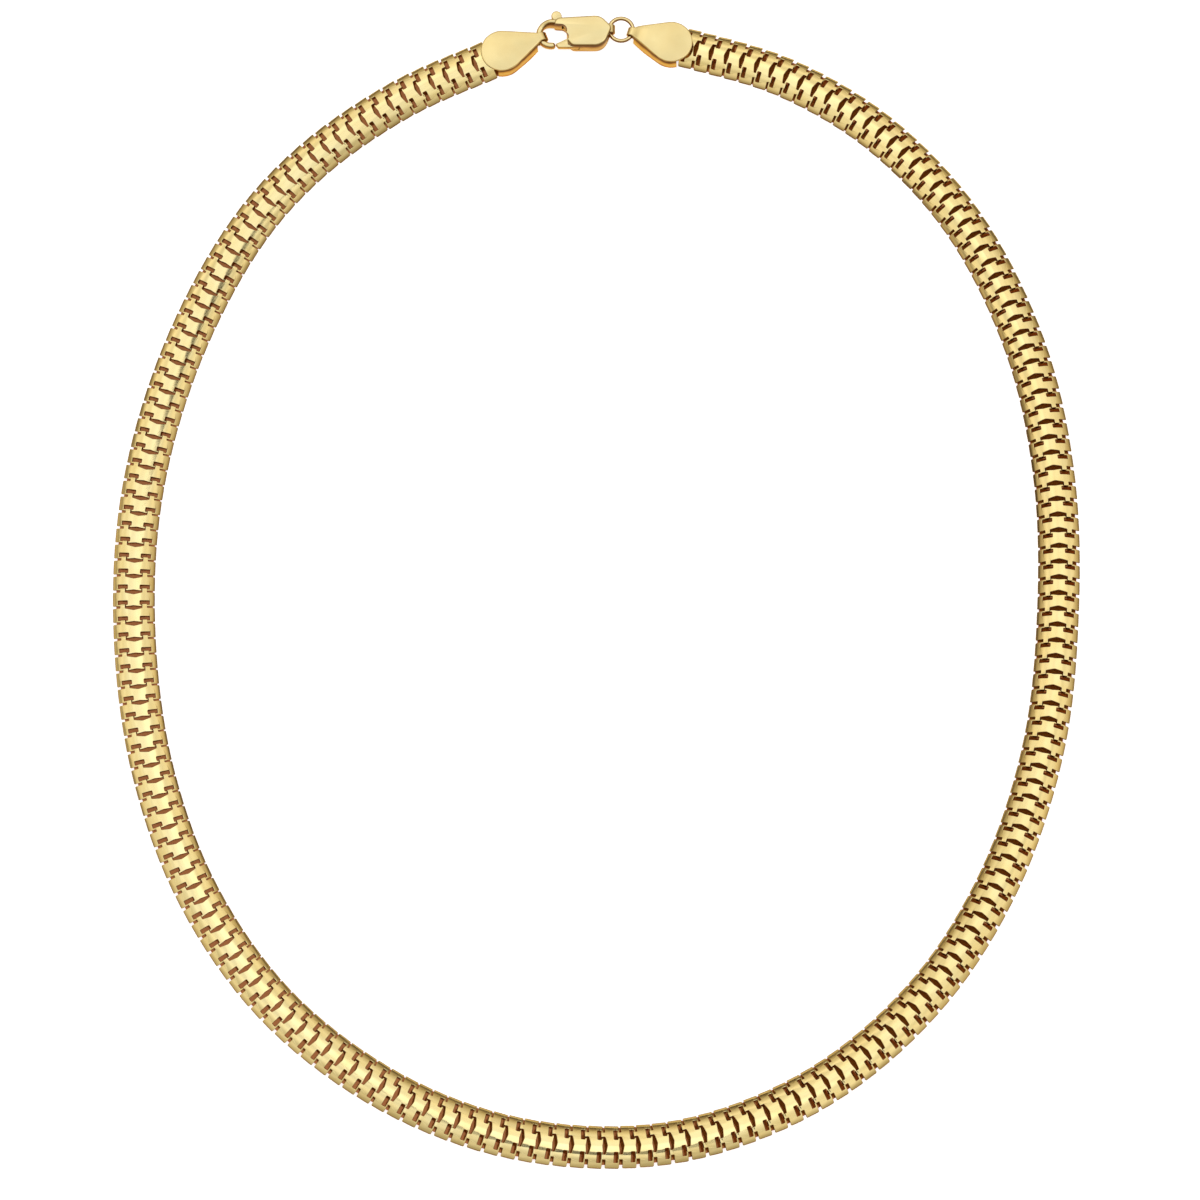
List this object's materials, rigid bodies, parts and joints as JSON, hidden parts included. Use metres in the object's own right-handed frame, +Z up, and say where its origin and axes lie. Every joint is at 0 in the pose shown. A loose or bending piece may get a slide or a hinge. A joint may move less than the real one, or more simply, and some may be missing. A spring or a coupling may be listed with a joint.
{
  "type": "stamped link chain necklace in snake chain style",
  "caption": "Necklace of domed stamped links that hook into each other, lying as a closed loop, with flat end caps, a lobster clasp with a sprung lever, and a jump ring.",
  "frame": {"origin": "middle of the loop's bounding box, on the surface it lies on", "axes": "+X to the right of the loop, +Y towards the clasp, +Z up from the surface"},
  "size_m": [0.1344, 0.1652, 0.0028],
  "materials": {
    "chain_gold": "gold-coloured stamped metal with a satin dome and fine cross lines",
    "cap_gold": "polished gold-coloured metal",
    "clasp_gold": "polished gold-coloured casting",
    "ring_gold": "polished gold-coloured wire"
  },
  "bodies": {
    "necklace": {"chain_left": "chain_gold", "chain_right": "chain_gold", "end_cap_left": "cap_gold", "end_cap_right": "cap_gold", "clasp_body": "clasp_gold", "jump_ring": "ring_gold"},
    "lever": {"clasp_lever": "clasp_gold"}
  },
  "joints": [
    {"name": "lever_pivot", "type": "hinge", "parent": "necklace", "child": "lever", "pos_m": [-0.00298, 0.07829, 0.0014], "axis": [0, 0, -1], "range_deg": [0, 28], "stiffness_Nm_per_rad": 0.004, "springref_deg": -34.38}
  ]
}
